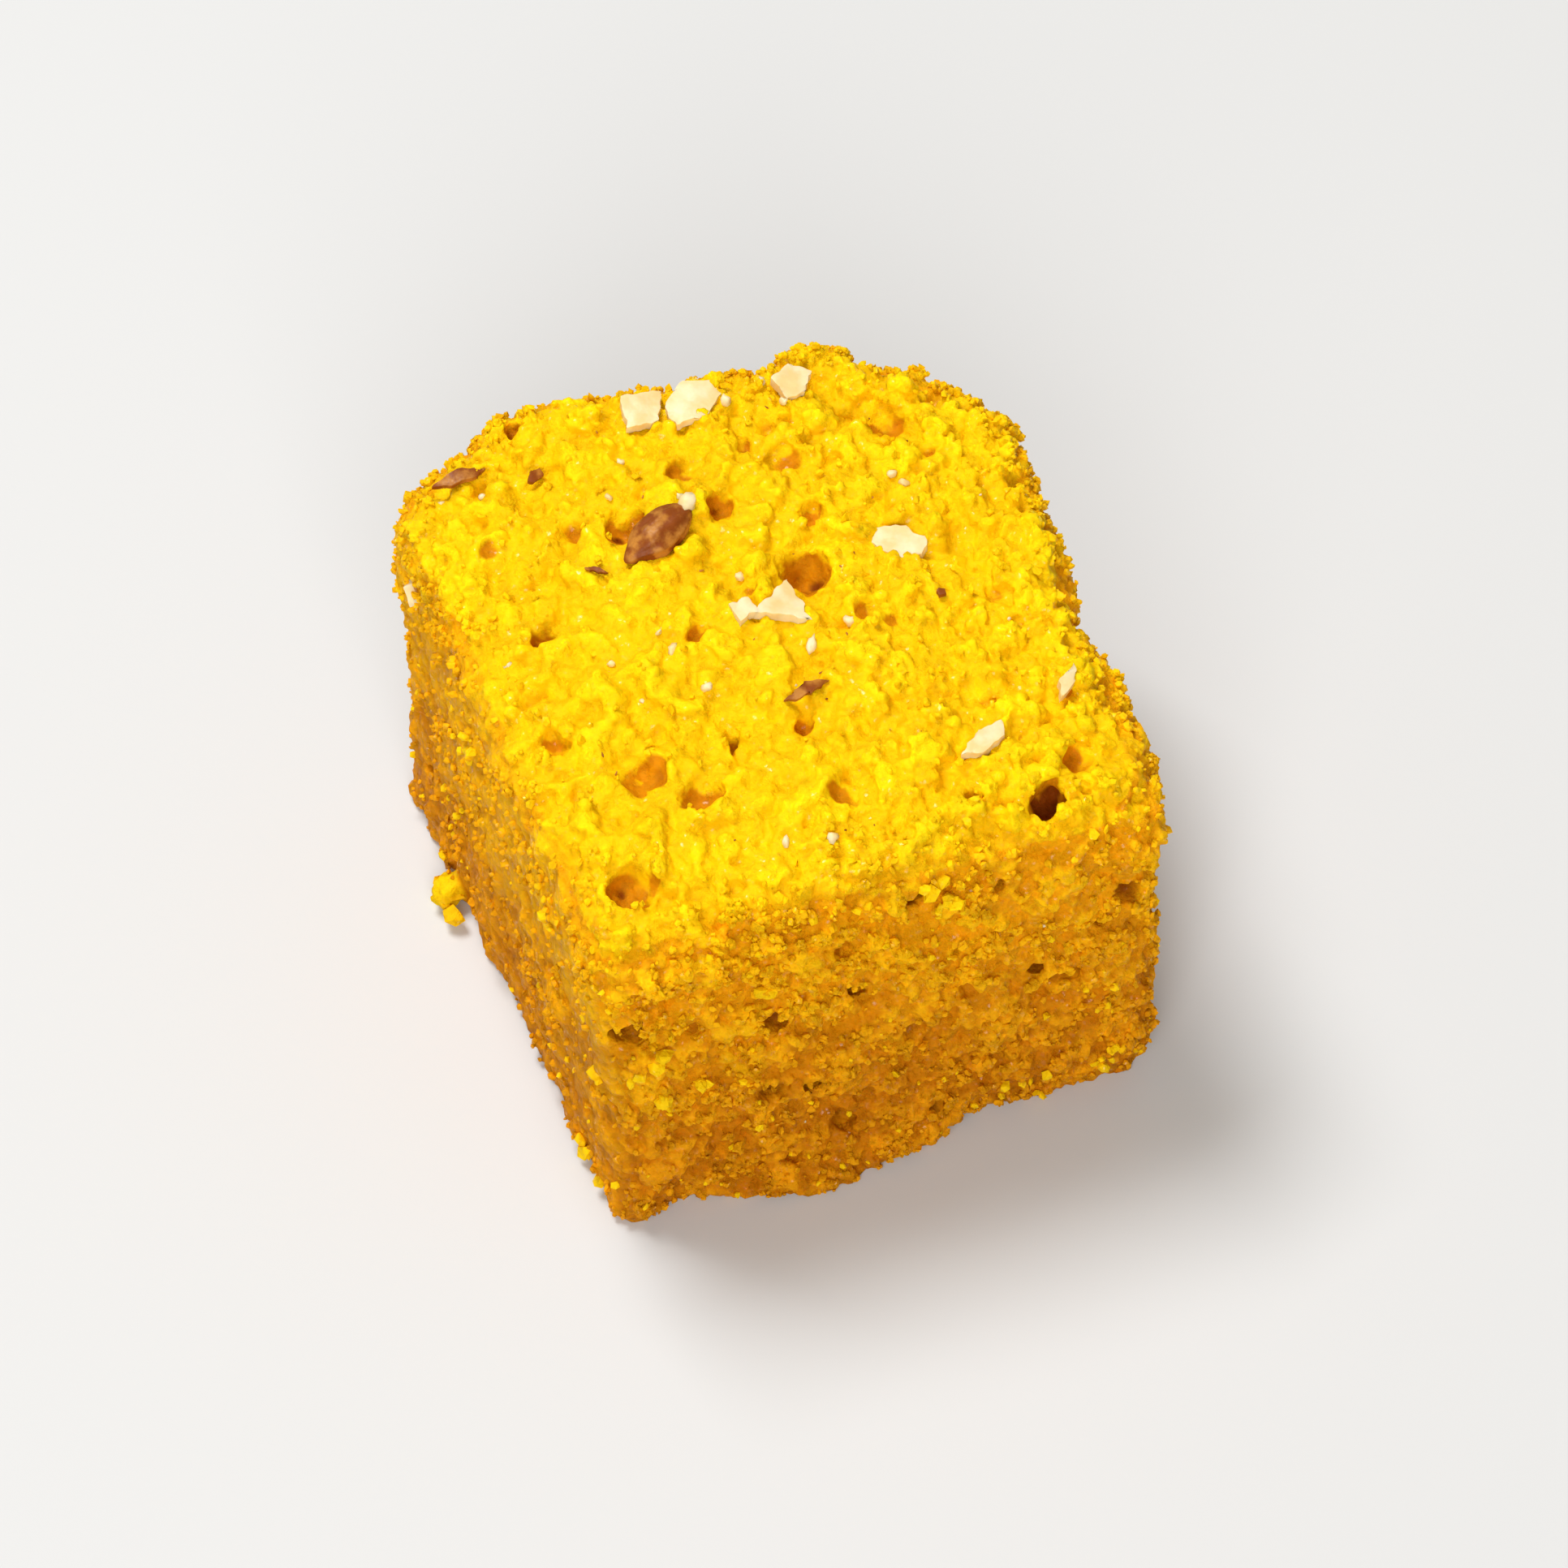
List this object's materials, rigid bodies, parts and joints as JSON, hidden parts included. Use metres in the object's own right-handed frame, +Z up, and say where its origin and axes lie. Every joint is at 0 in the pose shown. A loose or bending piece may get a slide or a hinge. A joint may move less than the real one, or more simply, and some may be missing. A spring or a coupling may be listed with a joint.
{
  "type": "mysore pak",
  "caption": "Hand-cut square piece of mysore pak, a crumbly yellow gram flour and ghee sweet with open bubbles, cut sides and broken almond on its crowned top, resting on its flat base",
  "frame": {"origin": "middle of the base, on the surface that the piece stands on", "axes": "+X runs left to right along the cut front face, +Y goes back, +Z is up"},
  "size_m": [0.0504, 0.0538, 0.038],
  "materials": {
    "gram_flour_sweet": "matt, crumbly and slightly greasy, lemon yellow on top and amber on the cut sides",
    "almond": "matt cream, slightly translucent, cut faces",
    "almond_skin": "dry, finely ribbed brown skin"
  },
  "bodies": {
    "root": {"mysore_pak": "gram_flour_sweet"}
  },
  "joints": []
}
